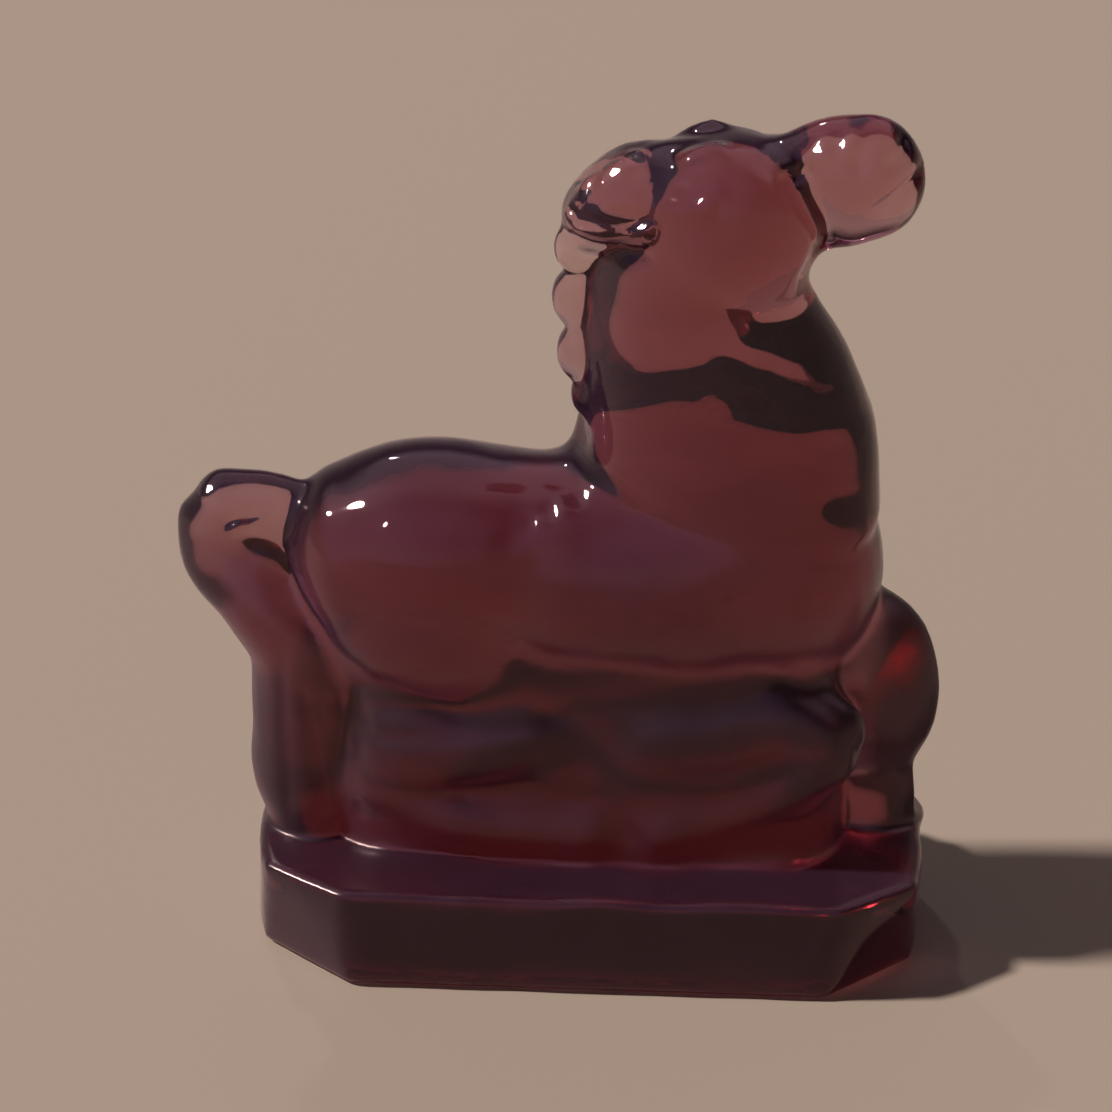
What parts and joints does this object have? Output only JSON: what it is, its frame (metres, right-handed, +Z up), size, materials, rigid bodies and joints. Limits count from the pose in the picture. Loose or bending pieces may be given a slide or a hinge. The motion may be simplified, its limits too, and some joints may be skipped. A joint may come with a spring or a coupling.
{
  "type": "glass horse figurine",
  "caption": "Pressed-glass horse with a tossed head, scalloped mane and arched tail, legs folded on a plinth with cut corners.",
  "frame": {"origin": "middle of the plinth's resting face", "axes": "+Z up, +X towards the muzzle, +Y towards the horse's off side"},
  "size_m": [0.087, 0.0384, 0.0992],
  "materials": {
    "glass": "fire-polished, plum-coloured, solid pressed glass"
  },
  "bodies": {
    "root": {"plinth": "glass", "rump": "glass", "trunk": "glass", "under_body": "glass", "neck": "glass", "head": "glass", "forelock": "glass", "mane": "glass", "near_ear": "glass", "off_ear": "glass", "near_hind_leg": "glass", "off_hind_leg": "glass", "near_foreleg": "glass", "off_foreleg": "glass", "tail": "glass"}
  },
  "joints": []
}
